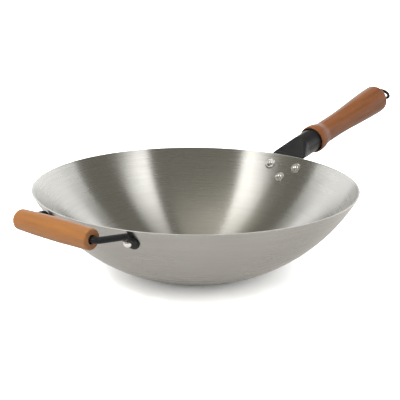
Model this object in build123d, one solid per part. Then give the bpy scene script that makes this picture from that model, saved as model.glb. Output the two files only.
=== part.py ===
from build123d import *
from math import atan2, cos, degrees, hypot, radians, sin, sqrt, tan
import os

# Carbon steel wok with a long wooden grip and a short wooden helper grip.
# Origin at the centre of the flat base, +Z up, +X towards the long grip. Sizes in millimetres.

# Bowl: one spun sheet, flat base, a single arc from the base to the cut rim
rim_diameter = 355.6
bowl_height = 96.5
base_diameter = 102.2
wall_radius = 194.4
wall = 1.8
knuckle_radius = 20.0
rim_round = 0.35

# Clearances
seat_gap = 0.15
hole_gap = 0.1
running_gap = 0.08
rod_wall_gap = 0.3

# Rivets: steel, a dome on a flat ring inside the bowl, a plain dome outside
shank_diameter = 4.8
inner_dome_diameter = 7.6
inner_dome_height = 2.2
outer_dome_diameter = 8.5
outer_dome_height = 3.0
ring_diameter = 12.6
ring_thickness = 1.2
ring_bevel = 0.5

# Socket: tube crimped flat at the bowl and bent down the outside of the wall
tube_diameter = 28.7
tube_wall = 1.5
plate = 2 * tube_wall
bend_radius = 5.5
bend_lead = 0.9
handle_rise = 11.2
crimp_start = 2.6
crimp_length = 23.4
crown_half_angle = 5.0
upper_rivet_offset = 19.2
upper_rivet_drop = 14.5
lower_rivet_drop = 29.6
plate_side_margin = 7.0
plate_shoulder_width = 2 * (upper_rivet_offset + plate_side_margin)
plate_shoulder_round = 9.0
plate_rim_width = 45.0
plate_foot_width = 12.0
plate_foot_round = 5.5
plate_foot_margin = 8.0

# Long grip: turned wood round the tube, stations measured from the collar's face
collar_distance = 52.0
grip_length = 167.3
collar_wood = 3.0
collar_diameter = tube_diameter + 2 * collar_wood
collar_length = 7.0
collar_chamfer = 1.0
neck_step = 3.2
neck_diameter = collar_diameter - 2 * neck_step
neck_start = 25.3
neck_end = 45.6
belly_swell = 4.4
belly_diameter = neck_diameter + 2 * belly_swell
end_dome = 10.0
socket_depth = 13.0
socket_gap = 0.15
mouth_gap = 1.2
mouth_depth = 3.0

# Hanging eye: wire ring on a threaded stem that pulls the grip on to the socket
eye_wire = 4.2
eye_diameter = 17.6
eye_end_gap = 2.0
eye_distance = grip_length + eye_end_gap + (eye_diameter + eye_wire) / 2
eye_turn = 64.0
stem_diameter = 4.0
flange_diameter = 9.0
flange_thickness = 1.2
flange_gap = 0.3
nut_length = 10.0
nut_gap = 0.05
nut_inset = 1.0

# Helper: rod bent to a U, flattened to round paddles, with a wooden barrel on it
rod_diameter = 6.4
helper_overhang = 31.6
helper_lift = 0.4
helper_reach = rim_diameter / 2 + helper_overhang
helper_height = bowl_height + helper_lift
helper_grip_length = 99.4
helper_grip_diameter = 22.7
helper_end_taper = 1.1
helper_grip_end_diameter = helper_grip_diameter - 2 * helper_end_taper
helper_near_round = 1.6
helper_far_round = 5.0
helper_mouth_gap = 1.5
helper_mouth_diameter = rod_diameter + 2 * helper_mouth_gap
helper_mouth_depth = 4.5
helper_arm_gap = 5.0
helper_arm_offset = helper_grip_length / 2 + helper_arm_gap
helper_bend_radius = 5.6
shoulder_bend_radius = 5.0
flat_start = 9.74
foot_gap = 0.35
paddle_thickness = 3.0
paddle_diameter = 14.6
foot_inset = 1.0
foot_offset = helper_arm_offset - foot_inset
helper_rivet_inset = 3.2
helper_rivet_offset = foot_offset - helper_rivet_inset
helper_rivet_drop = 15.7

cut_overrun = 20.0
crimp_lap = 2.5


def wall_centre():
    """Centre of the outer arc, as radius and height, from the base edge and the rim."""
    base, rim = base_diameter / 2, rim_diameter / 2
    span = hypot(rim - base, bowl_height)
    reach = sqrt(wall_radius**2 - (span / 2) ** 2)
    return (rim + base) / 2 - reach * bowl_height / span, bowl_height / 2 + reach * (rim - base) / span


def rim_angle():
    """Angle of the wall at the rim, from straight down, seen from the arc's centre."""
    cr, cz = wall_centre()
    return atan2(rim_diameter / 2 - cr, cz - bowl_height)


def arc_point(radius, angle):
    cr, cz = wall_centre()
    return cr + radius * sin(angle), cz - radius * cos(angle)


def wall_plane(drop, offset, side):
    """Plane on the wall's outside: z points out of the steel and y up the wall.
    drop is measured along the wall from the rim, and side is +1 or -1 along X."""
    angle = rim_angle() - drop / wall_radius
    r, z = arc_point(wall_radius, angle)
    x = side * sqrt(r**2 - offset**2)
    out = Vector(x / r * sin(angle), offset / r * sin(angle), -cos(angle))
    up = Vector(x / r * cos(angle), offset / r * cos(angle), sin(angle))
    return Plane(origin=(x, offset, z), x_dir=up.cross(out), z_dir=out)


def turned(*edges):
    """Solid turned from a closed outline of radius and station, with its axis on Z."""
    return Rot(90, 0, 0) * revolve(make_face(Wire(edges).edges()), Axis.Y)


def turned_points(*points):
    return turned(*Polyline(*points, close=True).edges())


def mid_arc(radius, start, end, centre):
    """Arc about a centre in the radius and height plane, between two angles from straight down."""
    def place(angle):
        return centre[0] + radius * sin(angle), centre[1] - radius * cos(angle)
    return ThreePointArc(place(start), place((start + end) / 2), place(end))


def handle_rivet_planes():
    return [
        wall_plane(upper_rivet_drop, upper_rivet_offset, 1),
        wall_plane(upper_rivet_drop, -upper_rivet_offset, 1),
        wall_plane(lower_rivet_drop, 0, 1),
    ]


def helper_rivet_planes():
    return [wall_plane(helper_rivet_drop, side * helper_rivet_offset, -1) for side in (1, -1)]


def helper_foot_planes():
    """Middles of the paddles. Each rivet sits nearer to the paddle's inner edge."""
    return [wall_plane(helper_rivet_drop, side * foot_offset, -1) for side in (1, -1)]


def rivet_holes(planes):
    hole = Cylinder(shank_diameter / 2 + hole_gap, 2 * cut_overrun)
    return [plane * hole for plane in planes]


def bowl():
    """Shell turned from its section. The knuckle touches both the flat base and the wall's arc,
    so its centre lies knuckle_radius above the base and that much inside the wall's arc."""
    cr, cz = wall_centre()
    knuckle = cr + sqrt((wall_radius - knuckle_radius) ** 2 - (cz - knuckle_radius) ** 2), knuckle_radius
    turn = atan2(knuckle[0] - cr, cz - knuckle_radius)
    inner = wall_radius - wall
    inner_end = atan2(sqrt(inner**2 - (cz - bowl_height) ** 2), cz - bowl_height)
    outer_knuckle = mid_arc(knuckle_radius, 0, turn, knuckle)
    outside = mid_arc(wall_radius, turn, rim_angle(), (cr, cz))
    inside = mid_arc(inner, inner_end, turn, (cr, cz))
    inner_knuckle = mid_arc(knuckle_radius - wall, turn, 0, knuckle)
    outline = [
        Line((0, 0), outer_knuckle @ 0),
        outer_knuckle,
        outside,
        Line(outside @ 1, inside @ 0),
        inside,
        inner_knuckle,
        Line(inner_knuckle @ 1, (0, wall)),
        Line((0, wall), (0, 0)),
    ]
    section = make_face(Wire([edge.edge() for edge in outline]).edges())
    for corner in (outside @ 1, inside @ 0):
        section = fillet(section.vertices().sort_by_distance(Vector(*corner))[0], rim_round)
    shell = Rot(90, 0, 0) * revolve(section, Axis.Y)
    for hole in rivet_holes(handle_rivet_planes() + helper_rivet_planes()):
        shell -= hole
    return shell


def handle_plane(station=0.0):
    """Plane across the long handle: z along its axis, x to +Y. Station 0 is the bend's corner."""
    rise = radians(handle_rise)
    edge = wall_plane(0, 0, 1)
    corner = edge.origin + edge.z_dir * (plate / 2) + edge.y_dir * bend_lead
    along = Vector(cos(rise), 0, sin(rise))
    return Plane(origin=corner + along * station, x_dir=(0, 1, 0), z_dir=along)


def collar_plane(station=0.0):
    return handle_plane(collar_distance + station)


def bend_centre():
    """Point below the handle's axis and outside the wall that the plate bends round, in X and Z."""
    axis = handle_plane()
    cr, cz = wall_centre()
    start = axis.origin - axis.y_dir * bend_radius
    dx, dz = start.X - cr, start.Z - cz
    along = axis.z_dir
    half = dx * along.X + dz * along.Z
    reach = wall_radius + plate / 2 + bend_radius
    step = -half + sqrt(half**2 - (dx**2 + dz**2 - reach**2))
    return start.X + along.X * step, start.Z + along.Z * step


def plate_strip():
    """Sheet that lies on the wall and bends out at the rim, revolved about the bowl's axis."""
    cr, cz = wall_centre()
    bx, bz = bend_centre()
    axis = handle_plane()
    along, up = axis.z_dir, axis.y_dir
    low = rim_angle() - (lower_rivet_drop + cut_overrun) / wall_radius
    high = atan2(bx - cr, cz - bz)
    inside = mid_arc(wall_radius, low, high, (cr, cz))
    outside = mid_arc(wall_radius + plate, high, low, (cr, cz))
    turn_start = atan2(cr - bx, bz - cz)
    turn_end = atan2(up.X, -up.Z)
    upper = mid_arc(bend_radius + plate / 2, turn_start, turn_end, (bx, bz))
    lower = mid_arc(bend_radius - plate / 2, turn_end, turn_start, (bx, bz))
    flat = crimp_start + crimp_lap - (Vector(bx, 0, bz) - axis.origin).dot(along)
    step = Vector(along.X, along.Z) * flat
    outline = [
        inside,
        upper,
        Line(upper @ 1, upper @ 1 + step),
        Line(upper @ 1 + step, lower @ 0 + step),
        Line(lower @ 0 + step, lower @ 0),
        lower,
        outside,
        Line(outside @ 1, inside @ 0),
    ]
    section = make_face(Wire([edge.edge() for edge in outline]).edges())
    sweep_angle = 2 * degrees(atan2(plate_shoulder_width, rim_diameter))
    strip = Rot(90, 0, 0) * revolve(section, Axis.Y, sweep_angle * 2)
    return Rot(0, 0, -sweep_angle) * strip


def plate_outline():
    """Rounded shield: as wide as the crimp at the rim, widest at the upper rivets, narrow at the foot."""
    base = wall_plane(lower_rivet_drop, 0, 1)
    shoulder = lower_rivet_drop - upper_rivet_drop
    half_rim, half_shoulder, half_foot = plate_rim_width / 2, plate_shoulder_width / 2, plate_foot_width / 2
    points = [
        (half_rim, lower_rivet_drop + cut_overrun),
        (half_rim, lower_rivet_drop),
        (half_shoulder, shoulder),
        (half_foot, -plate_foot_margin),
    ]
    mirrored = [(-x, y) for x, y in reversed(points)]
    shield = make_face(Polyline(*points, *mirrored, close=True).edges())
    for point, radius in (((half_shoulder, shoulder), plate_shoulder_round),
                          ((half_foot, -plate_foot_margin), plate_foot_round)):
        for side in (1, -1):
            corner = shield.vertices().sort_by_distance(Vector(side * point[0], point[1]))[0]
            shield = fillet(corner, radius)
    return base * extrude(shield, cut_overrun, both=True)


def crimp_section(width, height):
    """Flattened end of the tube: two flats and two half-round folds."""
    fold = height / 2
    flat = width / 2 - fold
    return make_face(Wire([
        Line((flat, fold), (-flat, fold)).edge(),
        ThreePointArc((-flat, fold), (-width / 2, 0), (-flat, -fold)).edge(),
        Line((-flat, -fold), (flat, -fold)).edge(),
        ThreePointArc((flat, -fold), (width / 2, 0), (flat, fold)).edge(),
    ]).edges())


def round_section(diameter):
    """Round tube in four arcs, so that each flat of the crimp runs up to a narrow crown."""
    radius = diameter / 2
    x, y = radius * sin(radians(crown_half_angle)), radius * cos(radians(crown_half_angle))
    return make_face(Wire([
        ThreePointArc((x, y), (0, radius), (-x, y)).edge(),
        ThreePointArc((-x, y), (-radius, 0), (-x, -y)).edge(),
        ThreePointArc((-x, -y), (0, -radius), (x, -y)).edge(),
        ThreePointArc((x, -y), (radius, 0), (x, y)).edge(),
    ]).edges())


def handle_socket():
    crimp_end = crimp_start + crimp_length
    tube_end = collar_distance + socket_depth
    tube_length = tube_end - crimp_end
    bore = tube_diameter - 2 * tube_wall
    crimp = loft([
        handle_plane(crimp_start) * crimp_section(plate_rim_width, plate),
        handle_plane(crimp_end) * round_section(tube_diameter),
    ], ruled=True)
    open_share = 0.12
    hollow_start = crimp_start + crimp_length * open_share
    hollow_height = plate + (tube_diameter - plate) * open_share - 2 * tube_wall
    hollow = loft([
        handle_plane(hollow_start) * crimp_section(plate_rim_width - 4 * tube_wall, hollow_height),
        handle_plane(crimp_end) * round_section(bore),
    ], ruled=True)
    at_end = Align.CENTER, Align.CENTER, Align.MIN
    tube = handle_plane(crimp_end) * Cylinder(tube_diameter / 2, tube_length, align=at_end)
    tube_bore = handle_plane(crimp_end) * Cylinder(bore / 2, tube_length + cut_overrun, align=at_end)
    socket = (plate_strip() & plate_outline()) + crimp + tube
    socket = socket - hollow - tube_bore
    for hole in rivet_holes(handle_rivet_planes()):
        socket -= hole
    return socket


def dome_arc(radius, height, base):
    """Spherical cap from its rim, at a radius, to its tip on the axis. A negative height points down."""
    ball = (radius**2 + height**2) / (2 * abs(height))
    half = atan2(radius, ball - abs(height)) / 2
    sign = 1 if height > 0 else -1
    middle = ball * sin(half), base + height - sign * ball * (1 - cos(half))
    return ThreePointArc((radius, base), middle, (0, base + height))


def rivet(outer_stack):
    """Rivet on Z, outside up: shank through the wall and outer_stack, a dome at each end."""
    top = outer_stack + seat_gap
    bottom = -wall - seat_gap - ring_thickness
    shank = shank_diameter / 2
    outer = dome_arc(outer_dome_diameter / 2, outer_dome_height, top)
    inner = dome_arc(inner_dome_diameter / 2, -inner_dome_height, bottom)
    return turned(
        outer.edge(),
        Line((outer_dome_diameter / 2, top), (shank, top)).edge(),
        Line((shank, top), (shank, bottom)).edge(),
        Line((shank, bottom), (inner_dome_diameter / 2, bottom)).edge(),
        inner.edge(),
        Line(inner @ 1, outer @ 1).edge(),
    )


def rivet_ring():
    """Flat ring under the inner dome, bevelled round its outer edge."""
    seat = -wall - seat_gap
    hole, outer = shank_diameter / 2 + hole_gap, ring_diameter / 2
    return turned_points(
        (hole, seat),
        (outer, seat),
        (outer, seat - ring_thickness + ring_bevel),
        (outer - 2 * ring_bevel, seat - ring_thickness),
        (hole, seat - ring_thickness),
    )


def handle_grip():
    collar, neck, belly = collar_diameter / 2, neck_diameter / 2, belly_diameter / 2
    pull_share = 1 / 3
    taper = Bezier(
        (collar, collar_length),
        (collar, collar_length + (neck_start - collar_length) * pull_share),
        (neck, neck_start - (neck_start - collar_length) * pull_share),
        (neck, neck_start),
    )
    dome_start = grip_length - end_dome
    swell = Bezier(
        (neck, neck_end),
        (neck, neck_end + (dome_start - neck_end) * pull_share),
        (belly, dome_start - (dome_start - neck_end) * pull_share),
        (belly, dome_start),
    )
    end = EllipticalCenterArc((0, dome_start), belly, end_dome, start_angle=0, arc_size=90)
    wood = turned(
        Line((0, 0), (collar - collar_chamfer, 0)).edge(),
        Line((collar - collar_chamfer, 0), (collar, collar_chamfer)).edge(),
        Line((collar, collar_chamfer), (collar, collar_length)).edge(),
        taper.edge(),
        Line((neck, neck_start), (neck, neck_end)).edge(),
        swell.edge(),
        end.edge(),
        Line((0, grip_length), (0, 0)).edge(),
    )
    socket_hole = tube_diameter / 2 + socket_gap
    mouth = tube_diameter / 2 + mouth_gap
    stem_hole = stem_diameter / 2 + hole_gap
    wood -= turned_points(
        (0, -cut_overrun),
        (mouth, -cut_overrun),
        (mouth, 0),
        (socket_hole, mouth_depth),
        (socket_hole, socket_depth + seat_gap),
        (stem_hole, socket_depth + seat_gap),
        (stem_hole, grip_length + cut_overrun),
        (0, grip_length + cut_overrun),
    )
    return collar_plane() * wood


def socket_nut():
    """Threaded plug pressed into the tube's end, square to the stem."""
    radius = tube_diameter / 2 - tube_wall - nut_gap
    plug = turned_points(
        (stem_diameter / 2, 0),
        (radius, 0),
        (radius, nut_length),
        (stem_diameter / 2, nut_length),
    )
    return collar_plane(socket_depth - nut_inset - nut_length) * plug


def hanging_eye_bolt():
    ring = Rot(0, 90, 0) * Torus(eye_diameter / 2, eye_wire / 2)
    ring = collar_plane(eye_distance) * Rot(0, 0, -eye_turn) * ring
    flange_start = grip_length + flange_gap
    neck_end = eye_distance - eye_diameter / 2
    stem_start = socket_depth - nut_inset - nut_length
    stem = stem_diameter / 2
    shaft = turned_points(
        (0, stem_start),
        (stem, stem_start),
        (stem, flange_start),
        (flange_diameter / 2, flange_start),
        (flange_diameter / 2, flange_start + flange_thickness),
        (eye_wire / 2, flange_start + 2 * flange_thickness),
        (eye_wire / 2, neck_end),
        (0, neck_end),
    )
    return ring + collar_plane() * shaft


def foot_plane(base, up, out):
    """Plane across the foot of the bracket, square to the wall's slope."""
    origin = base.origin + base.y_dir * up + base.z_dir * out
    return Plane(origin=origin, x_dir=base.x_dir, z_dir=base.y_dir)


def helper_bracket():
    """Rod whose ends run up from the paddles and bend out over the rim by less than the rim's slope."""
    left, right = helper_foot_planes()
    lift = rod_diameter / 2 + rod_wall_gap
    shoulder_rise = flat_start + shoulder_bend_radius * tan(rim_angle() / 2)

    def side_points(base, side):
        return [
            foot_plane(base, flat_start, lift).origin,
            foot_plane(base, shoulder_rise, lift).origin,
            Vector(-helper_reach, side * helper_arm_offset, helper_height),
        ]

    path = FilletPolyline(
        *side_points(left, 1),
        *reversed(side_points(right, -1)),
        radius=[shoulder_bend_radius, helper_bend_radius, helper_bend_radius, shoulder_bend_radius],
    )
    start = Plane(origin=path @ 0, z_dir=path % 0)
    bracket = sweep(start * Circle(rod_diameter / 2), path=path)
    flat_end = outer_dome_diameter / 2 + foot_gap
    for base in (left, right):
        paddle = plate_ring() & base * Cylinder(paddle_diameter / 2, 2 * cut_overrun)
        foot = loft([
            foot_plane(base, flat_start, lift) * Circle(rod_diameter / 2),
            foot_plane(base, flat_end, paddle_thickness / 2) * Ellipse(paddle_diameter / 2, paddle_thickness / 2),
        ])
        bracket = bracket + foot + paddle
    for hole in rivet_holes(helper_rivet_planes()):
        bracket -= hole
    return bracket


def plate_ring():
    """Sheet as thick as the paddles, wrapped round the outside of the wall near the rim."""
    centre = wall_centre()
    high = rim_angle()
    low = high - 2 * helper_rivet_drop / wall_radius
    inside = mid_arc(wall_radius, low, high, centre)
    outside = mid_arc(wall_radius + paddle_thickness, high, low, centre)
    return turned(inside.edge(), Line(inside @ 1, outside @ 0).edge(), outside.edge(),
                  Line(outside @ 1, inside @ 0).edge())


def helper_grip():
    half = helper_grip_length / 2
    end, middle = helper_grip_end_diameter / 2, helper_grip_diameter / 2
    barrel = ThreePointArc((end, -half), (middle, 0), (end, half))
    section = make_face(Wire([
        Line((0, -half), (end, -half)).edge(),
        barrel.edge(),
        Line((end, half), (0, half)).edge(),
        Line((0, half), (0, -half)).edge(),
    ]).edges())
    for side, radius in ((1, helper_far_round), (-1, helper_near_round)):
        corner = section.vertices().sort_by_distance(Vector(end, side * half))[0]
        section = fillet(corner, radius)
    wood = revolve(section, Axis.Y)
    bore = rod_diameter / 2 + running_gap
    mouth = helper_mouth_diameter / 2
    wood -= revolve(make_face(Polyline(
        (0, -half - cut_overrun),
        (mouth, -half - cut_overrun),
        (mouth, -half),
        (bore, -half + helper_mouth_depth),
        (bore, half - helper_mouth_depth),
        (mouth, half),
        (mouth, half + cut_overrun),
        (0, half + cut_overrun),
        close=True,
    ).edges()), Axis.Y)
    return Pos(-helper_reach, 0, helper_height) * wood


def write(name, *solids):
    shape = solids[0] if len(solids) == 1 else Compound(children=list(solids))
    export_step(shape, f"parts/{name}.step")


os.makedirs("parts", exist_ok=True)
write("bowl", bowl())
write("handle_socket", handle_socket())
write("handle_rivets", *[plane * rivet(plate) for plane in handle_rivet_planes()])
write("handle_rivet_rings", *[plane * rivet_ring() for plane in handle_rivet_planes()])
write("handle_grip", handle_grip())
write("socket_nut", socket_nut())
write("hanging_eye_bolt", hanging_eye_bolt())
write("helper_bracket", helper_bracket())
write("helper_grip", helper_grip())
write("helper_rivets", *[plane * rivet(paddle_thickness) for plane in helper_rivet_planes()])
write("helper_rivet_rings", *[plane * rivet_ring() for plane in helper_rivet_planes()])
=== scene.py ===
from math import atan2, cos, hypot, pi, radians, sin, sqrt, tan

import bmesh
import bpy
from mathutils import Matrix, Quaternion, Vector


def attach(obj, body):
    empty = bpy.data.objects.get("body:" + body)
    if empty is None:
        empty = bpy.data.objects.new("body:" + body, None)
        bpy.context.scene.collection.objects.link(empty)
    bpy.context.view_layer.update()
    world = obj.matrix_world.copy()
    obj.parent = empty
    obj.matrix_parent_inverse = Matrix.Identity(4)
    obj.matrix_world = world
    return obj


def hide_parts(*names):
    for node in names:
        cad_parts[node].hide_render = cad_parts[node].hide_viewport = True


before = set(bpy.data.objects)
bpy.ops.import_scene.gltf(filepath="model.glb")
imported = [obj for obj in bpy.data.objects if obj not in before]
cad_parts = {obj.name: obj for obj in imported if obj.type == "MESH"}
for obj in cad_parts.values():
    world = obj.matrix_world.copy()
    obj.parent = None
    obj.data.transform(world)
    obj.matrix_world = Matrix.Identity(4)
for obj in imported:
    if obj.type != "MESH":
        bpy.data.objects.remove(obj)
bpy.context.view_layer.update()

# Bowl: one sheet of bare carbon steel, spun to a flat base and a single curved wall, trimmed at
# the rim and brushed while it turned, so that its fine scratches run round the axis. The cut rim
# is deburred and shines as a thin line.
rim_radius = 0.1778
bowl_height = 0.0965
base_radius = 0.0511
wall_radius = 0.1944
wall = 0.0018
knuckle_radius = 0.020
rim_round = 0.00035
bowl_turns = 384
wall_steps = 90
knuckle_steps = 12
outer_rim_steps = 6
inner_rim_steps = 4
on_axis = 1e-9
steel_dark = (0.440, 0.435, 0.411)
steel_pale = (0.470, 0.465, 0.440)

rim_span = hypot(rim_radius - base_radius, bowl_height)
centre_reach = sqrt(wall_radius**2 - (rim_span / 2) ** 2)
wall_r = (rim_radius + base_radius) / 2 - centre_reach * bowl_height / rim_span
wall_z = bowl_height / 2 + centre_reach * (rim_radius - base_radius) / rim_span
rim_angle = atan2(rim_radius - wall_r, wall_z - bowl_height)
knuckle_r = wall_r + sqrt((wall_radius - knuckle_radius) ** 2 - (wall_z - knuckle_radius) ** 2)
knuckle_angle = atan2(knuckle_r - wall_r, wall_z - knuckle_radius)


def arc(centre, radius, start, end, steps):
    """Points of radius and height on an arc, from one angle to another, counted from straight down."""
    angles = [start + (end - start) * i / steps for i in range(steps + 1)]
    return [(centre[0] + radius * sin(a), centre[1] - radius * cos(a)) for a in angles]


def placed(name, data):
    """A new object in the scene, for a mesh, a light or a camera."""
    item = bpy.data.objects.new(name, data)
    bpy.context.scene.collection.objects.link(item)
    return item


def finished_piece(name, mesh, crease=40):
    """The object of a bmesh, smooth but for edges sharper than the crease, in degrees."""
    bmesh.ops.recalc_face_normals(mesh, faces=mesh.faces)
    for face in mesh.faces:
        face.smooth = True
    data = bpy.data.meshes.new(name)
    mesh.to_mesh(data)
    mesh.free()
    data.set_sharp_from_angle(angle=radians(crease))
    return placed(name, data)


def lathe(name, outline, turns, edge_faces=(), crease=40):
    """Closed solid turned about Z from an outline of radius and height, which may end on the axis.
    Faces of the outline's segments in edge_faces get the piece's second material."""
    mesh = bmesh.new()
    rings = []
    for radius, height in outline:
        if radius < on_axis:
            rings.append([mesh.verts.new((0, 0, height))])
            continue
        angles = [2 * pi * i / turns for i in range(turns)]
        rings.append([mesh.verts.new((radius * cos(a), radius * sin(a), height)) for a in angles])
    closed = outline[0][0] > on_axis
    pairs = len(rings) if closed else len(rings) - 1
    for segment in range(pairs):
        lower, upper = rings[segment], rings[(segment + 1) % len(rings)]
        for i in range(turns):
            j = (i + 1) % turns
            corners = [lower[i % len(lower)], lower[j % len(lower)],
                       upper[j % len(upper)], upper[i % len(upper)]]
            corners = list(dict.fromkeys(corners))
            if len(corners) > 2:
                face = mesh.faces.new(corners)
                face.material_index = 1 if segment in edge_faces else 0
    return finished_piece(name, mesh, crease)


inner_radius = wall_radius - wall
inner_rim_angle = atan2(sqrt(inner_radius**2 - (wall_z - bowl_height) ** 2), wall_z - bowl_height)
outer_wall = arc((knuckle_r, knuckle_radius), knuckle_radius, 0, knuckle_angle, knuckle_steps)
outer_wall += arc((wall_r, wall_z), wall_radius, knuckle_angle, rim_angle, wall_steps)[1:]
inner_wall = arc((wall_r, wall_z), inner_radius, inner_rim_angle, knuckle_angle, wall_steps)
inner_wall += arc((knuckle_r, knuckle_radius), knuckle_radius - wall, knuckle_angle, 0, knuckle_steps)[1:]
outer_lip, inner_lip = outer_wall.pop(), inner_wall.pop(0)
outer_edge = (outer_lip[0] - rim_round / tan(rim_angle / 2), bowl_height - rim_round)
inner_edge = (inner_lip[0] + rim_round * tan(inner_rim_angle / 2), bowl_height - rim_round)
rim_outline = arc(outer_edge, rim_round, rim_angle, pi, outer_rim_steps)
rim_outline += arc(inner_edge, rim_round, pi, pi + inner_rim_angle, inner_rim_steps)
bowl_outline = [(0, 0)] + outer_wall + rim_outline + inner_wall + [(0, wall)]
rim_first = len(outer_wall) + 1
bowl = lathe("bowl_shell", bowl_outline, bowl_turns, range(rim_first, rim_first + len(rim_outline) - 1))


def new_material(name):
    """A material with an empty node tree."""
    material = bpy.data.materials.new(name)
    material.use_nodes = True
    material.node_tree.nodes.clear()
    return material


def surface(material, **settings):
    """The material's Principled shader and output, with constants on the shader's own sockets."""
    tree = material.node_tree
    shader = tree.nodes.new("ShaderNodeBsdfPrincipled")
    for key, value in settings.items():
        shader.inputs[key.replace("_", " ")].default_value = value
    output = tree.nodes.new("ShaderNodeOutputMaterial")
    tree.links.new(shader.outputs["BSDF"], output.inputs["Surface"])
    return shader


def group(name, inputs, outputs):
    """An empty shader node group whose named inputs and outputs are all numbers."""
    tree = bpy.data.node_groups.new(name, "ShaderNodeTree")
    for label, value in inputs.items():
        socket = tree.interface.new_socket(label, in_out="INPUT", socket_type="NodeSocketFloat")
        socket.default_value = value
    for label in outputs:
        tree.interface.new_socket(label, in_out="OUTPUT", socket_type="NodeSocketFloat")
    return tree, tree.nodes.new("NodeGroupInput").outputs, tree.nodes.new("NodeGroupOutput").inputs


def use_group(tree, shared, **settings):
    """The first result of a shared node group, used with these numbers."""
    node = tree.nodes.new("ShaderNodeGroup")
    node.node_tree = shared
    for key, value in settings.items():
        node.inputs[key.replace("_", " ")].default_value = value
    return node.outputs[0]


def feed(tree, source, socket):
    """Puts a number or another node's result into a socket."""
    if isinstance(source, (int, float)):
        socket.default_value = source
    else:
        tree.links.new(source, socket)


def math_of(tree, operation, *values):
    """The result of an operation on numbers or other nodes' results."""
    node = tree.nodes.new("ShaderNodeMath")
    node.operation = operation
    for socket, value in zip(node.inputs, values):
        feed(tree, value, socket)
    return node.outputs[0]


def scaled(tree, source, low, high, low_out, high_out):
    """A value taken from one range to another, and held at its ends."""
    node = tree.nodes.new("ShaderNodeMapRange")
    for key, value in zip(("Value", "From Min", "From Max", "To Min", "To Max"),
                          (source, low, high, low_out, high_out)):
        feed(tree, value, node.inputs[key])
    return node.outputs["Result"]


def vector_of(tree, *parts):
    """A vector of three numbers or results."""
    node = tree.nodes.new("ShaderNodeCombineXYZ")
    for socket, part in zip(node.inputs, parts):
        feed(tree, part, socket)
    return node.outputs[0]


def own_place(tree):
    """The piece's own coordinates, as three sockets."""
    node = tree.nodes.new("ShaderNodeSeparateXYZ")
    tree.links.new(tree.nodes.new("ShaderNodeTexCoord").outputs["Object"], node.inputs[0])
    return node.outputs


def noise_of(tree, place, detail=2.0, roughness=0.55):
    """Noise at a place that is already scaled."""
    node = tree.nodes.new("ShaderNodeTexNoise")
    node.inputs["Scale"].default_value = 1.0
    node.inputs["Detail"].default_value = detail
    node.inputs["Roughness"].default_value = roughness
    tree.links.new(place, node.inputs["Vector"])
    return node.outputs["Fac"]


def colours(tree, source, *stops):
    """A colour ramp from pairs of position and colour."""
    node = tree.nodes.new("ShaderNodeValToRGB")
    marks = node.color_ramp.elements
    while len(marks) < len(stops):
        marks.new(0.5)
    for mark, (position, colour) in zip(marks, stops):
        mark.position, mark.color = position, (*colour, 1)
    tree.links.new(source, node.inputs[0])
    return node.outputs["Color"]


def turned_lines_group():
    """Scratches that run round the piece's Z axis: fine lines across and long streaks along."""
    axis_guard = 1e-8
    tree, given, result = group(
        "turned_lines", {"Lines per metre": 2500, "Streak turns": 3, "Drift": 0}, ["Lines"])
    x, y, z = own_place(tree)
    reach = math_of(tree, "ADD", math_of(tree, "MULTIPLY", x, x), math_of(tree, "MULTIPLY", y, y))
    reach = math_of(tree, "SQRT", math_of(tree, "ADD", reach, axis_guard))
    across = math_of(tree, "MULTIPLY", math_of(tree, "ADD", reach, z), given["Lines per metre"])
    across = math_of(tree, "ADD", across, given["Drift"])
    along = [math_of(tree, "MULTIPLY", math_of(tree, "DIVIDE", part, reach), given["Streak turns"])
             for part in (x, y)]
    tree.links.new(noise_of(tree, vector_of(tree, *along, across), 2.0, 0.6), result["Lines"])
    return tree


turned_lines = turned_lines_group()


def mottle_group():
    """Soft patches and fine grain that have no direction, as on handled metal and paint."""
    tree, given, result = group(
        "mottle", {"Patches per metre": 60, "Grain per metre": 1500, "Grain share": 0.4}, ["Mottle"])
    x, y, z = own_place(tree)
    layers = []
    for density in ("Patches per metre", "Grain per metre"):
        parts = [math_of(tree, "MULTIPLY", part, given[density]) for part in (x, y, z)]
        layers.append(noise_of(tree, vector_of(tree, *parts), 3.0))
    difference = math_of(tree, "SUBTRACT", layers[1], layers[0])
    mixed = math_of(tree, "MULTIPLY", difference, given["Grain share"])
    tree.links.new(math_of(tree, "ADD", layers[0], mixed), result["Mottle"])
    return tree


mottle = mottle_group()


def brushed_steel():
    """Bare steel, whose fine lines stretch every reflection across them. Broad dull patches."""
    material = new_material("brushed_carbon_steel")
    tree = material.node_tree
    shader = surface(material, Metallic=1.0, Anisotropic=1.0, Anisotropic_Rotation=0.25)
    fine = use_group(tree, turned_lines, Lines_per_metre=1500.0, Streak_turns=2.5)
    broad = use_group(tree, turned_lines, Lines_per_metre=260.0, Streak_turns=1.3, Drift=7.0)
    tree.links.new(colours(tree, broad, (0.30, steel_dark), (0.70, steel_pale)),
                   shader.inputs["Base Color"])
    stains = use_group(tree, mottle, Patches_per_metre=14.0, Grain_share=0.0)
    dull = scaled(tree, stains, 0.35, 0.65, -0.015, 0.015)
    scratched = scaled(tree, fine, 0.3, 0.7, 0.265, 0.305)
    tree.links.new(math_of(tree, "ADD", scratched, dull), shader.inputs["Roughness"])
    tangent = tree.nodes.new("ShaderNodeTangent")
    tangent.direction_type, tangent.axis = "RADIAL", "Z"
    tree.links.new(tangent.outputs[0], shader.inputs["Tangent"])
    return material


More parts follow.
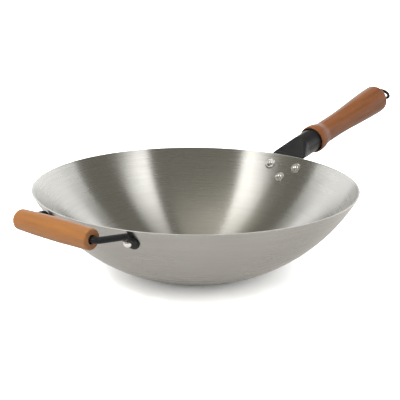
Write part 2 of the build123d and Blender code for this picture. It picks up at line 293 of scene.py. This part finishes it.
def deburred_edge():
    """The cut rim: paler and duller than the wall, with short file marks."""
    material = new_material("deburred_steel_edge")
    tree = material.node_tree
    shader = surface(material, Metallic=1.0)
    fine = use_group(tree, turned_lines, Lines_per_metre=5000.0, Streak_turns=9.0)
    tree.links.new(colours(tree, fine, (0.3, (0.50, 0.49, 0.47)), (0.7, (0.62, 0.61, 0.59))),
                   shader.inputs["Base Color"])
    tree.links.new(scaled(tree, fine, 0.3, 0.7, 0.36, 0.5), shader.inputs["Roughness"])
    return material


def fitted(piece, material, body, node):
    """Gives a piece its material, and says which body and CAD node it belongs to."""
    piece.data.materials.append(material)
    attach(piece, body)
    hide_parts(node)


bowl.data.materials.append(brushed_steel())
fitted(bowl, deburred_edge(), "pan", "bowl")

# Long handle's socket: one steel tube, pressed flat at the bowl's end, trimmed to a shield and
# bent down the outside of the wall, with satin black paint baked on. Three rivets hold it, and
# its round end runs into the wooden grip.
tube_radius = 0.01435
tube_wall = 0.0015
plate_half = tube_wall
handle_rise = radians(11.2)
bend_radius = 0.0055
bend_lead = 0.0009
crimp_start = 0.0026
crimp_length = 0.0234
crimp_hollow_share = 0.12
shoulder_drop = 0.0145
foot_drop = 0.0376
foot_round = 0.0068
rim_half_width = 0.0225
shoulder_half_width = 0.0262
foot_half_width = 0.0060
shoulder_softness = 0.005
collar_distance = 0.052
socket_depth = 0.013
tube_end_bevel = 0.0003
hollow_width_share = 0.8
hollow_thickness_share = 0.4
edge_turn = radians(14)
narrowest = 1.05
plate_end_gap = 0.00005
loop_points = 96
plate_steps = 70
bend_steps = 14
crimp_steps = 40


def on_wall(drop, offset, side, out=0.0):
    """A place on the wall's outside: drop is measured along the wall from the rim, offset along Y,
    out is the distance from the steel, and side is 1 at the long handle or -1 at the helper."""
    angle = rim_angle - drop / wall_radius
    radius, height = wall_r + wall_radius * sin(angle), wall_z - wall_radius * cos(angle)
    across = sqrt(radius**2 - offset**2)
    outward = Vector((side * across / radius * sin(angle), offset / radius * sin(angle), -cos(angle)))
    upward = Vector((side * across / radius * cos(angle), offset / radius * cos(angle), sin(angle)))
    return Vector((side * across, offset, height)) + outward * out, upward, outward


def set_at(piece, place, upward, outward):
    """Moves a piece's mesh to a place, with its Y upward and its Z outward, and returns the move."""
    turn = Matrix((upward.cross(outward), upward, outward)).transposed().to_4x4()
    seat = Matrix.Translation(place) @ turn
    piece.data.transform(seat)
    return seat


corner_place, corner_up, corner_out = on_wall(0, 0, 1)
handle_along = Vector((cos(handle_rise), 0, sin(handle_rise)))
handle_up = Vector((-sin(handle_rise), 0, cos(handle_rise)))
handle_corner = corner_place + corner_out * plate_half + corner_up * bend_lead


def slab_loop(half_width, half_thickness, points=loop_points):
    """A flat bar's section with half-round edges, which is a circle where both halves are equal."""
    loop = []
    for i in range(points):
        turn = 2 * pi * (i + 0.5) / points
        reach = max(-1.0, min(1.0, cos(turn) / sin(edge_turn)))
        across = (half_width - half_thickness) * reach + half_thickness * cos(turn)
        loop.append((across, half_thickness * sin(turn)))
    return loop


def skin(name, loops, closed=False, crease=40):
    """A solid over a row of loops that all have the same number of points, closed by end faces."""
    mesh = bmesh.new()
    rings = [[mesh.verts.new(point) for point in loop] for loop in loops]
    count = len(rings[0])
    for k in range(len(rings) if closed else len(rings) - 1):
        lower, upper = rings[k], rings[(k + 1) % len(rings)]
        for i in range(count):
            j = (i + 1) % count
            mesh.faces.new((lower[i], lower[j], upper[j], upper[i]))
    if not closed:
        mesh.faces.new(rings[0])
        mesh.faces.new(rings[-1])
    return finished_piece(name, mesh, crease)


def shield_half_width(drop):
    """Half of the plate's width at a drop below the rim: straight flanks, soft shoulders, round foot."""
    flare = rim_half_width + (shoulder_half_width - rim_half_width) * drop / shoulder_drop
    flank_share = (drop - shoulder_drop) / (foot_drop - shoulder_drop)
    flank = shoulder_half_width + (foot_half_width - shoulder_half_width) * flank_share
    soft = max(shoulder_softness - abs(flare - flank), 0) / shoulder_softness
    half = min(flare, flank) - soft**2 * shoulder_softness / 4
    into_foot = max(0.0, (drop - (foot_drop - foot_round)) / foot_round)
    return max(half * sqrt(max(0.0, 1 - into_foot**2)), plate_half * narrowest)


def handle_bend():
    """Centre of the plate's bend in X and Z, and its start and end directions from that centre."""
    start = handle_corner - handle_up * bend_radius
    dx, dz = start.x - wall_r, start.z - wall_z
    half = dx * handle_along.x + dz * handle_along.z
    reach = wall_radius + plate_half + bend_radius
    step = -half + sqrt(half**2 - (dx**2 + dz**2 - reach**2))
    centre = start + handle_along * step
    first = atan2(-(centre.x - wall_r), centre.z - wall_z)
    return centre, first, atan2(handle_up.x, -handle_up.z)


def handle_loop(station, half_width, half_thickness):
    """A section of the socket square to the handle, at a station from the wall."""
    place = handle_corner + handle_along * station
    return [place + Vector((0, y, 0)) + handle_up * t for y, t in slab_loop(half_width, half_thickness)]


def socket_loops():
    """Sections from the plate's foot up the wall, round the bend, out to the tube's end and back in."""
    loops = []
    centre, first, last = handle_bend()
    bend_drop = (rim_angle - atan2(centre.x - wall_r, wall_z - centre.z)) * wall_radius
    for k in range(plate_steps):
        drop = foot_drop - (foot_drop - bend_drop) * k / plate_steps - plate_end_gap
        section = slab_loop(shield_half_width(drop), plate_half)
        loops.append([on_wall(drop, y, 1, plate_half - t)[0] for y, t in section])
    for k in range(bend_steps + 1):
        share = k / bend_steps
        turn = first + (last - first) * share
        out = Vector((sin(turn), 0, -cos(turn)))
        loop = []
        for y, t in slab_loop(rim_half_width, plate_half):
            place = centre + out * (bend_radius + t)
            curl = sqrt(place.x**2 - y**2) - place.x
            loop.append(place + Vector((curl * (1 - share), y, 0)))
        loops.append(loop)
    flat = slab_loop(rim_half_width, plate_half)
    round_end = slab_loop(tube_radius, tube_radius)
    for k in range(crimp_steps + 1):
        share = k / crimp_steps
        station = crimp_start + crimp_length * share
        loop = []
        for (y0, t0), (y1, t1) in zip(flat, round_end):
            place = handle_corner + handle_along * station
            across, up = y0 + (y1 - y0) * share, t0 + (t1 - t0) * share
            loop.append(place + Vector((0, across, 0)) + handle_up * up)
        loops.append(loop)
    end = collar_distance + socket_depth
    inner = tube_radius - tube_wall
    for radius, station in ((tube_radius, end - tube_end_bevel), (tube_radius - tube_end_bevel, end),
                            (inner, end), (inner, crimp_start + crimp_length)):
        loops.append(handle_loop(station, radius, radius))
    hollow_start = crimp_start + crimp_length * crimp_hollow_share
    loops.append(handle_loop(hollow_start, rim_half_width * hollow_width_share,
                             plate_half * hollow_thickness_share))
    return loops


socket = skin("handle_socket_tube", socket_loops(), crease=35)


def bumped(tree, shader, height, depth, strength):
    """Relief of a real depth, in metres, on the shader."""
    node = tree.nodes.new("ShaderNodeBump")
    node.inputs["Strength"].default_value = strength
    node.inputs["Distance"].default_value = depth
    tree.links.new(height, node.inputs["Height"])
    tree.links.new(node.outputs[0], shader.inputs["Normal"])


def black_paint(name, colour, roughness, patches):
    """Baked black paint: faint orange peel, dull patches from handling."""
    material = new_material(name)
    tree = material.node_tree
    shader = surface(material, Specular_IOR_Level=0.15)
    film = use_group(tree, mottle, Patches_per_metre=patches, Grain_per_metre=1400.0, Grain_share=0.35)
    worn = tuple(part * 2 for part in colour)
    tree.links.new(colours(tree, film, (0.3, colour), (0.75, worn)), shader.inputs["Base Color"])
    tree.links.new(scaled(tree, film, 0.3, 0.7, roughness - 0.05, roughness + 0.07),
                   shader.inputs["Roughness"])
    bumped(tree, shader, film, 0.00012, 0.25)
    return material


satin_black = black_paint("satin_black_paint", (0.0030, 0.0031, 0.0032), 0.30, 90.0)
fitted(socket, satin_black, "pan", "handle_socket")

# Rivets of the long handle: bright steel, each with a domed head inside the bowl and one on the
# plate outside, set hot through the wall so that they clamp the plate.
shank_radius = 0.0024
inner_dome_radius = 0.0038
inner_dome_height = 0.0022
outer_dome_radius = 0.00425
outer_dome_height = 0.0030
ring_thickness = 0.0012
seat_gap = 0.00015
rivet_turns = 64
upper_rivet_drop = 0.0145
upper_rivet_offset = 0.0192
lower_rivet_drop = 0.0296
handle_rivet_spots = [(upper_rivet_drop, upper_rivet_offset), (upper_rivet_drop, -upper_rivet_offset),
                      (lower_rivet_drop, 0.0)]


def dome(radius, height, base, steps=12):
    """Outline of a spherical cap from its rim to its tip. A negative height points down."""
    ball = (radius**2 + height**2) / (2 * abs(height))
    half = atan2(radius, ball - abs(height))
    sign = 1 if height > 0 else -1
    points = [half * (1 - i / steps) for i in range(steps + 1)]
    return [(ball * sin(a), base + height - sign * ball * (1 - cos(a))) for a in points]


def bright_steel():
    """Polished steel with faint marks of handling."""
    material = new_material("bright_rivet_steel")
    tree = material.node_tree
    shader = surface(material, Metallic=1.0)
    worn = use_group(tree, mottle, Patches_per_metre=260.0, Grain_per_metre=2600.0, Grain_share=0.5)
    tree.links.new(colours(tree, worn, (0.3, (0.74, 0.73, 0.71)), (0.7, (0.90, 0.89, 0.87))),
                   shader.inputs["Base Color"])
    tree.links.new(scaled(tree, worn, 0.3, 0.7, 0.14, 0.26), shader.inputs["Roughness"])
    bumped(tree, shader, worn, 0.00006, 0.3)
    return material


rivet_steel = bright_steel()


def set_rivets(name, node, spots, side, stack):
    """Rivets with their outer heads on a stack of that thickness, one at each drop and offset."""
    inner_seat = -wall - seat_gap - ring_thickness
    outer_seat = stack + seat_gap
    outline = dome(inner_dome_radius, -inner_dome_height, inner_seat)[::-1]
    outline += [(shank_radius, inner_seat), (shank_radius, outer_seat)]
    outline += dome(outer_dome_radius, outer_dome_height, outer_seat)
    for number, (drop, offset) in enumerate(spots, 1):
        rivet = lathe(f"{name}_{number}", outline, rivet_turns, crease=50)
        set_at(rivet, *on_wall(drop, offset, side))
        fitted(rivet, rivet_steel, "pan", node)


set_rivets("handle_rivet", "handle_rivets", handle_rivet_spots, 1, 2 * tube_wall)

# Rings under the inner heads: turned steel washers with a bevelled edge, each held flat on the
# bowl's inside by its rivet.
ring_radius = 0.0063
ring_bevel = 0.0005
hole_radius = 0.0025
ring_soft = 0.00012


def set_rings(name, node, spots, side):
    """Washers on the bowl's inside, one at each drop and offset."""
    seat = -wall - seat_gap
    face = seat - ring_thickness
    outline = [
        (hole_radius, seat), (ring_radius, seat),
        (ring_radius, face + ring_bevel + ring_soft), (ring_radius - ring_soft, face + ring_bevel),
        (ring_radius - 2 * ring_bevel, face), (hole_radius, face),
    ]
    for number, (drop, offset) in enumerate(spots, 1):
        ring = lathe(f"{name}_{number}", outline, rivet_turns, crease=20)
        set_at(ring, *on_wall(drop, offset, side))
        fitted(ring, rivet_steel, "pan", node)


set_rings("handle_rivet_ring", "handle_rivet_rings", handle_rivet_spots, 1)

# Long grip: one piece of wood, turned with a collar at the socket, a slim neck and a long belly,
# bored for the tube and the eye bolt's stem, stained and lacquered. Its stations are measured
# from the collar's face.
grip_length = 0.1673
collar_radius = 0.01735
collar_length = 0.007
collar_chamfer = 0.001
neck_radius = 0.01415
neck_start = 0.0253
neck_end = 0.0456
belly_radius = 0.01855
end_dome = 0.010
mouth_radius = 0.01555
mouth_depth = 0.003
socket_bore = 0.0145
stem_bore = 0.0021
stem_bore_lead = 0.0002
edge_reach = 0.00025
edge_share = 0.3
shoulder_steps = 24
neck_steps = 6
belly_steps = 40
grip_turns = 128
grip_dark = (0.0449, 0.0127, 0.0019)
grip_middle = (0.0680, 0.0205, 0.0033)
grip_light = (0.0829, 0.0262, 0.0044)


def eased(start, end, steps):
    """Points of radius and station on a curve that leaves and arrives along the axis."""
    third = (end[1] - start[1]) / 3
    points = []
    for i in range(1, steps + 1):
        t = i / steps
        radius = start[0] + (end[0] - start[0]) * (3 * t**2 - 2 * t**3)
        lead = third * (3 * t * (1 - t) ** 2 + 6 * t**2 * (1 - t))
        station = start[1] + lead + (end[1] - start[1]) * t**3
        points.append((radius, station))
    return points


def grip_outline():
    """Outline from the collar's mouth over the belly and the domed end, and back in through the bore."""
    dome_start = grip_length - end_dome
    step = edge_reach * edge_share
    outline = [(mouth_radius, 0), (collar_radius - collar_chamfer - edge_reach, 0),
               (collar_radius - collar_chamfer + step, step),
               (collar_radius - step, collar_chamfer - step),
               (collar_radius, collar_chamfer + edge_reach),
               (collar_radius, collar_length - edge_reach),
               (collar_radius - step, collar_length + edge_reach)]
    outline += eased(outline[-1], (neck_radius, neck_start), shoulder_steps)
    outline += eased((neck_radius, neck_start), (neck_radius, neck_end), neck_steps)
    outline += eased((neck_radius, neck_end), (belly_radius, dome_start), belly_steps)
    for i in range(1, shoulder_steps + 1):
        turn = pi / 2 * i / shoulder_steps
        radius, station = belly_radius * cos(turn), dome_start + end_dome * sin(turn)
        if radius > stem_bore:
            outline.append((radius, station))
    outline += [(stem_bore, grip_length - stem_bore_lead), (stem_bore, socket_depth + seat_gap),
                (socket_bore, socket_depth + seat_gap), (socket_bore, mouth_depth)]
    return outline


def wood_grain_group():
    """Turned wood with its grain along the Z axis of a place: dark and pale bands and fibres."""
    tree, given, result = group(
        "wood_grain",
        {"Bands per metre": 220, "Fibres per metre": 1600, "Bends per metre": 30, "Stretch": 0.05,
         "Wander": 0.35, "Fibre share": 0.35},
        ["Grain"],
    )
    tree.interface.new_socket("Place", in_out="INPUT", socket_type="NodeSocketVector")
    parted = tree.nodes.new("ShaderNodeSeparateXYZ")
    tree.links.new(given["Place"], parted.inputs[0])
    x, y, z = parted.outputs
    run = math_of(tree, "MULTIPLY", z, given["Stretch"])
    bend_at = [math_of(tree, "MULTIPLY", part, given["Bends per metre"]) for part in (x, y, z)]
    bend = math_of(tree, "MULTIPLY", noise_of(tree, vector_of(tree, *bend_at), 1.0), given["Wander"])
    layers = []
    for density in ("Bands per metre", "Fibres per metre"):
        parts = [math_of(tree, "MULTIPLY", part, given[density]) for part in (x, y, run)]
        parts[0] = math_of(tree, "ADD", parts[0], bend)
        layers.append(noise_of(tree, vector_of(tree, *parts), 3.0))
    difference = math_of(tree, "SUBTRACT", layers[1], layers[0])
    mixed = math_of(tree, "MULTIPLY", difference, given["Fibre share"])
    tree.links.new(math_of(tree, "ADD", layers[0], mixed), result["Grain"])
    return tree


wood_grain = wood_grain_group()


def lacquered_wood(name, dark, middle, light, gloss, seat):
    """Stained wood under a thin clear lacquer that lets the fibres show as fine relief. The grain
    runs along the piece's own axis, as it lay before the seat moved it, and end grain is darker."""
    material = new_material(name)
    tree = material.node_tree
    shader = surface(material, Specular_IOR_Level=0.18, Coat_Weight=gloss, Coat_Roughness=0.22,
                     Coat_IOR=1.45)
    own = tree.nodes.new("ShaderNodeMapping")
    own.vector_type = "TEXTURE"
    own.inputs["Location"].default_value = seat.to_translation()
    own.inputs["Rotation"].default_value = seat.to_euler()
    tree.links.new(tree.nodes.new("ShaderNodeTexCoord").outputs["Object"], own.inputs["Vector"])
    grain = use_group(tree, wood_grain)
    tree.links.new(own.outputs[0], grain.node.inputs["Place"])
    facing = tree.nodes.new("ShaderNodeVectorMath")
    facing.operation = "DOT_PRODUCT"
    tree.links.new(tree.nodes.new("ShaderNodeNewGeometry").outputs["True Normal"], facing.inputs[0])
    facing.inputs[1].default_value = seat.col[2].to_3d()
    end_on = math_of(tree, "ABSOLUTE", facing.outputs["Value"])
    end_grain = scaled(tree, end_on, 0.75, 0.95, 0.0, 0.14)
    stain = math_of(tree, "SUBTRACT", grain, end_grain)
    tones = colours(tree, stain, (0.30, dark), (0.48, middle), (0.70, light))
    tree.links.new(tones, shader.inputs["Base Color"])
    tree.links.new(scaled(tree, grain, 0.3, 0.7, 0.52, 0.40), shader.inputs["Roughness"])
    bumped(tree, shader, grain, 0.0001, 0.25)
    return material


grip = lathe("handle_grip_wood", grip_outline(), grip_turns, crease=30)
grip_seat = set_at(grip, handle_corner + handle_along * collar_distance, handle_up, handle_along)
grip_wood = lacquered_wood("stained_grip_wood", grip_dark, grip_middle, grip_light, 0.22, grip_seat)
fitted(grip, grip_wood, "pan", "handle_grip")

# Nut: a threaded steel plug pressed into the tube's round end, under the wood. It keeps its CAD
# shape and gets the machined steel's finish.
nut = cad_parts["socket_nut"]
nut.data.materials.clear()
nut.data.materials.append(rivet_steel)

# Hanging eye: black lacquered wire bent to a ring on a threaded stem. The stem runs down the
# grip's bore into the nut, and a small flange pulls the wood on to the socket.
eye_wire_radius = 0.0021
eye_radius = 0.0088
eye_end_gap = 0.002
eye_turn = radians(64)
stem_radius = 0.0020
flange_radius = 0.0045
flange_gap = 0.0003
flange_thickness = 0.0012
nut_inset = 0.001
nut_length = 0.010
eye_centre = grip_length + eye_end_gap + eye_radius + eye_wire_radius
eye_segments = 72
wire_points = 24
stem_turns = 48


def eye_ring():
    """A closed ring of wire round its centre, upright on its own Z and turned about it."""
    loops = []
    across = Vector((sin(eye_turn), cos(eye_turn), 0))
    side = Vector((cos(eye_turn), -sin(eye_turn), 0))
    for i in range(eye_segments):
        turn = 2 * pi * i / eye_segments
        out = Vector((across[0] * cos(turn), across[1] * cos(turn), sin(turn)))
        loops.append([out * (eye_radius + eye_wire_radius * cos(a)) + side * (eye_wire_radius * sin(a))
                      for a in [2 * pi * k / wire_points for k in range(wire_points)]])
    return skin("hanging_eye_ring", loops, closed=True)


gloss_black = black_paint("gloss_black_lacquer", (0.002, 0.002, 0.0022), 0.16, 160.0)
collar_face = handle_corner + handle_along * collar_distance
ring = eye_ring()
set_at(ring, collar_face + handle_along * eye_centre, handle_up, handle_along)
fitted(ring, gloss_black, "pan", "hanging_eye_bolt")

flange_base = grip_length + flange_gap
stem_foot = socket_depth - nut_inset - nut_length
stem_outline = [
    (0, stem_foot), (stem_radius, stem_foot), (stem_radius, flange_base), (flange_radius, flange_base),
    (flange_radius, flange_base + flange_thickness),
    (eye_wire_radius, flange_base + 2 * flange_thickness), (eye_wire_radius, eye_centre - eye_radius),
    (0, eye_centre - eye_radius),
]
stem = lathe("hanging_eye_stem", stem_outline, stem_turns)
set_at(stem, collar_face, handle_up, handle_along)
fitted(stem, gloss_black, "pan", "hanging_eye_bolt")

# Helper bracket: one black painted steel rod, bent to a U with its ends turned down the outside
# of the wall and hammered to round paddles for the rivets.
rod_radius = 0.0032
rod_wall_gap = 0.0003
helper_reach = 0.2094
helper_height = 0.0969
arm_offset = 0.0547
foot_offset = 0.0537
helper_bend = 0.0056
shoulder_bend = 0.005
flat_start = 0.00974
flat_end = 0.0046
paddle_half = 0.0015
paddle_radius = 0.0073
foot_rivet_drop = 0.0157
paddle_end_gap = 0.00002
paddle_steps = 25
blend_steps = 10
rod_points = 48


def rounded_path(points, radii, steps=14):
    """Places and directions along straight runs joined by arcs of the given radii."""
    path = [(points[0], (points[1] - points[0]).normalized())]
    for before, corner, after, radius in zip(points, points[1:], points[2:], radii):
        first, second = (corner - before).normalized(), (after - corner).normalized()
        turn = first.angle(second)
        setback = radius * tan(turn / 2)
        axis = first.cross(second).normalized()
        centre = corner - first * setback + axis.cross(first) * radius
        for k in range(steps + 1):
            swing = Quaternion(axis, turn * k / steps)
            path.append((centre + swing @ (corner - first * setback - centre), swing @ first))
    path.append((points[-1], (points[-1] - points[-2]).normalized()))
    return path


def bracket_half(side):
    """Loops from the tip of one paddle to the middle of the rod, side being the sign of Y."""
    loops = []
    foot = side * foot_offset
    outline = []
    for k in range(paddle_steps + 1):
        swing = pi / 2 * (1 - k / paddle_steps)
        outline.append((foot_rivet_drop + paddle_radius * sin(swing) - paddle_end_gap,
                        max(paddle_radius * cos(swing), paddle_half * narrowest)))
    outline.append((foot_rivet_drop - flat_end, paddle_radius))
    for drop, half in outline:
        loops.append([on_wall(drop, foot + y, -1, paddle_half + t)[0]
                      for y, t in slab_loop(half, paddle_half, rod_points)])
    place, upward, outward = on_wall(foot_rivet_drop, foot, -1)
    lift = outward * (rod_radius + rod_wall_gap)
    rod_start = place + upward * flat_start + lift
    shoulder = place + upward * (flat_start + shoulder_bend * tan(rim_angle / 2)) + lift
    corner = Vector((-helper_reach, side * arm_offset, helper_height))
    middle = Vector((-helper_reach, 0, helper_height))
    across = Vector((0, 1, 0))
    neck = loops[-1]
    rod_section = slab_loop(rod_radius, rod_radius, rod_points)
    circle = [rod_start + across * y + outward * t for y, t in rod_section]
    for k in range(1, blend_steps):
        loops.append([a.lerp(b, k / blend_steps) for a, b in zip(neck, circle)])
    width, thick = across, outward
    last = upward
    run = [rod_start, shoulder, corner, middle]
    for point, direction in rounded_path(run, [shoulder_bend, helper_bend]):
        swing = last.rotation_difference(direction)
        width, thick, last = swing @ width, swing @ thick, direction
        loops.append([point + width * y + thick * t for y, t in rod_section])
    return loops


for side, label in ((1, "far"), (-1, "near")):
    half = skin(f"helper_bracket_{label}_half", bracket_half(side), crease=35)
    fitted(half, satin_black, "pan", "helper_bracket")

# Helper rivets and their rings: the same steel rivets and washers, through paddle and wall. Each
# rivet sits nearer to its paddle's inner edge.
helper_rivet_offset = 0.0505
helper_rivet_spots = [(foot_rivet_drop, helper_rivet_offset), (foot_rivet_drop, -helper_rivet_offset)]
set_rivets("helper_rivet", "helper_rivets", helper_rivet_spots, -1, 2 * paddle_half)
set_rings("helper_rivet_ring", "helper_rivet_rings", helper_rivet_spots, -1)

# Helper grip: a short barrel of the same wood, paler, bored through and slipped on the rod before
# its second bend. It isn't fixed, so it turns in the hand.
helper_half = 0.0497
helper_end_radius = 0.01025
helper_middle_radius = 0.01135
near_round = 0.0016
far_round = 0.005
rod_bore = 0.00328
helper_mouth_radius = 0.0047
helper_mouth_depth = 0.0045
near_steps = 8
barrel_steps = 30
far_steps = 16
helper_dark = (0.0711, 0.0259, 0.0054)
helper_middle_tone = (0.0936, 0.0359, 0.0080)
helper_light = (0.109, 0.0438, 0.0104)


def helper_outline():
    """Closed outline of the barrel, from the near mouth round to the far mouth and back in the bore."""
    swell = helper_middle_radius - helper_end_radius
    straight = 2 * helper_half - near_round - far_round

    def radius_at(station):
        return helper_end_radius + swell * (1 - (station / helper_half) ** 2)

    outline = [(helper_mouth_radius, -helper_half)]
    for k in range(near_steps + 1):
        turn = pi / 2 * k / near_steps
        station = -helper_half + near_round * (1 - cos(turn))
        outline.append((radius_at(station) - near_round * (1 - sin(turn)), station))
    for k in range(1, barrel_steps):
        station = -helper_half + near_round + straight * k / barrel_steps
        outline.append((radius_at(station), station))
    for k in range(far_steps + 1):
        turn = pi / 2 * k / far_steps
        station = helper_half - far_round * (1 - sin(turn))
        outline.append((radius_at(station) - far_round * (1 - cos(turn)), station))
    outline += [(helper_mouth_radius, helper_half), (rod_bore, helper_half - helper_mouth_depth),
                (rod_bore, -helper_half + helper_mouth_depth)]
    return outline


barrel = lathe("helper_grip_wood", helper_outline(), grip_turns, crease=30)
barrel_seat = set_at(barrel, Vector((-helper_reach, 0, helper_height)), Vector((0, 0, 1)),
                     Vector((0, 1, 0)))
helper_wood = lacquered_wood("pale_helper_wood", helper_dark, helper_middle_tone, helper_light, 0.2,
                             barrel_seat)
fitted(barrel, helper_wood, "helper_barrel", "helper_grip")

# Studio: a white floor, a pale backdrop, two long strips overhead that part towards the camera, a
# soft key in front that leaves no image in the steel, and a weak warm card above and behind. The
# camera is where the photograph was taken from, a little above the rim.
camera_place = Vector((-0.81681, -0.66586, 0.38494))
camera_target = Vector((0.00292, -0.00361, 0.07875))
camera_roll = radians(0.47)
camera_lens = 90.0
film_width = 36.0
camera = placed("camera", bpy.data.cameras.new("camera"))
camera.data.lens = camera_lens
camera.data.sensor_width = film_width
camera.location = camera_place
aim = (camera_target - camera_place).to_track_quat("-Z", "Y")
camera.rotation_euler = (aim @ Quaternion((0, 0, 1), camera_roll)).to_euler()
bpy.context.scene.camera = camera

floor_half = 12.0
floor_drop = 0.0002
floor_white = (0.90, 0.90, 0.90)
# In the steel the floor is painted darker and given a warm painted glow, which stands in for a lit table.
floor_painted_dim_in_steel = (0.08, 0.08, 0.08)
painted_floor_glow = 0.60
painted_floor_glow_colour = (1, 0.94, 0.89, 1)
# Radii from the bowl's axis over which the painted glow rises from nothing: a painted contact shadow
# round the base.
painted_shadow_start = 0.066
painted_shadow_end = 0.106
floor_mesh = bpy.data.meshes.new("floor")
floor_mesh.from_pydata([(-floor_half, -floor_half, 0), (floor_half, -floor_half, 0),
                        (floor_half, floor_half, 0), (-floor_half, floor_half, 0)], [], [(0, 1, 2, 3)])
floor = placed("floor", floor_mesh)
floor.location.z = -floor_drop


def floor_paint():
    """White to the eye. In the steel it is painted darker and given a painted glow from a little way off,
    like a lit table, with a painted contact shadow near the bowl.
    """
    material = new_material("floor_paint")
    tree = material.node_tree
    shader = surface(material, Roughness=0.9, Emission_Color=painted_floor_glow_colour)
    light_path = tree.nodes.new("ShaderNodeLightPath").outputs
    scattered = math_of(tree, "MINIMUM", light_path["Diffuse Depth"], 1.0)
    seen_in_steel = math_of(tree, "MULTIPLY", light_path["Is Glossy Ray"],
                            math_of(tree, "SUBTRACT", 1.0, scattered))
    tree.links.new(colours(tree, seen_in_steel, (0.0, floor_white), (1.0, floor_painted_dim_in_steel)),
                   shader.inputs["Base Color"])
    x, y, z = own_place(tree)
    squares = [math_of(tree, "MULTIPLY", part, part) for part in (x, y)]
    from_axis = math_of(tree, "SQRT", math_of(tree, "ADD", *squares))
    # Painted contact shadow: the glow is nothing near the bowl's axis and full from a little way off.
    glow = scaled(tree, from_axis, painted_shadow_start, painted_shadow_end, 0.0, painted_floor_glow)
    tree.links.new(math_of(tree, "MULTIPLY", seen_in_steel, glow), shader.inputs["Emission Strength"])
    return material


floor_mesh.materials.append(floor_paint())

towards_camera = atan2(camera_place.y, camera_place.x)


def from_camera(azimuth, distance, height):
    """A place by its azimuth in degrees, counted to the right from the camera's side."""
    turn = towards_camera + radians(azimuth)
    return Vector((distance * cos(turn), distance * sin(turn), height))


backdrop_radius = 4.5
backdrop_height = 3.0
backdrop_foot = (92, 268)
backdrop_top = (118, 242)
backdrop_steps = 40
backdrop_glow = 1.5
backdrop_points = []
for k in range(backdrop_steps + 1):
    for (first, last), height in ((backdrop_foot, 0), (backdrop_top, backdrop_height)):
        azimuth = first + (last - first) * k / backdrop_steps
        backdrop_points.append(from_camera(azimuth, backdrop_radius, height))
backdrop_mesh = bpy.data.meshes.new("backdrop")
backdrop_mesh.from_pydata(backdrop_points, [],
                          [(2 * k, 2 * k + 2, 2 * k + 3, 2 * k + 1) for k in range(backdrop_steps)])
backdrop = placed("backdrop", backdrop_mesh)
backdrop_paint = new_material("backdrop_paint")
surface(backdrop_paint, Base_Color=(0.1, 0.1, 0.1, 1), Roughness=0.9, Emission_Color=(1, 1, 1, 1),
        Emission_Strength=backdrop_glow)
backdrop_mesh.materials.append(backdrop_paint)

room_strength = 0.28
room_colour = (1.0, 0.965, 0.83)
floor_strength = 3.0
world = bpy.data.worlds.new("studio")
bpy.context.scene.world = world
world.use_nodes = True
room = world.node_tree
room_tone = room.nodes["Background"].inputs
diffuse_share = room.nodes.new("ShaderNodeLightPath").outputs["Is Diffuse Ray"]
even_light = scaled(room, diffuse_share, 0.0, 1.0, room_strength, floor_strength)
room.links.new(even_light, room_tone["Strength"])
room.links.new(colours(room, diffuse_share, (0.0, room_colour), (1.0, (1, 1, 1))), room_tone["Color"])

strip_length = 3.2
strip_width = 0.58
strip_azimuth = 88
strip_shift = 1.15
strip_height = 2.0
strip_distance = 1.02
key_width = 1.2
key_power = 130
key_spot = (-55, 1.4, 2.1)
card_width = 1.3
card_power = 5.0
card_tone = (1.0, 0.94, 0.84)
card_spot = (205, 0.9, 2.4)


def soft_light(name, shape, length, width, power):
    """A flat light of one of the shapes that lights have, and its size and power."""
    light = bpy.data.lights.new(name, "AREA")
    light.shape = shape
    light.size = length
    light.size_y = width
    light.energy = power
    return placed(name, light)


def strip_light(name, side, parting, power):
    """A long soft box overhead, to the camera's right (side 1) or left (side -1)."""
    lamp = soft_light(name, "RECTANGLE", strip_length, strip_width, power)
    along = from_camera(side * parting, 1, 0)
    lamp.location = from_camera(side * strip_azimuth, strip_distance, strip_height) + along * strip_shift
    down = -lamp.location.normalized()
    down = (down - along * down.dot(along)).normalized()
    lamp.rotation_euler = Matrix((along, (-down).cross(along), -down)).transposed().to_euler()


def aimed_light(name, shape, width, power, spot):
    """A soft light as wide as high, at an azimuth, distance and height, that points at the base."""
    lamp = soft_light(name, shape, width, width, power)
    lamp.location = from_camera(*spot)
    lamp.rotation_euler = (-lamp.location).to_track_quat("-Z", "Y").to_euler()
    return lamp


strip_light("right_strip", 1, parting=28, power=16)
strip_light("left_strip", -1, parting=26, power=19)
front_key = aimed_light("front_key", "DISK", key_width, key_power, key_spot)
front_key.visible_glossy = False
rear_card = aimed_light("rear_card", "RECTANGLE", card_width, card_power, card_spot)
rear_card.data.color = card_tone
bpy.context.scene.view_settings.view_transform = "Standard"
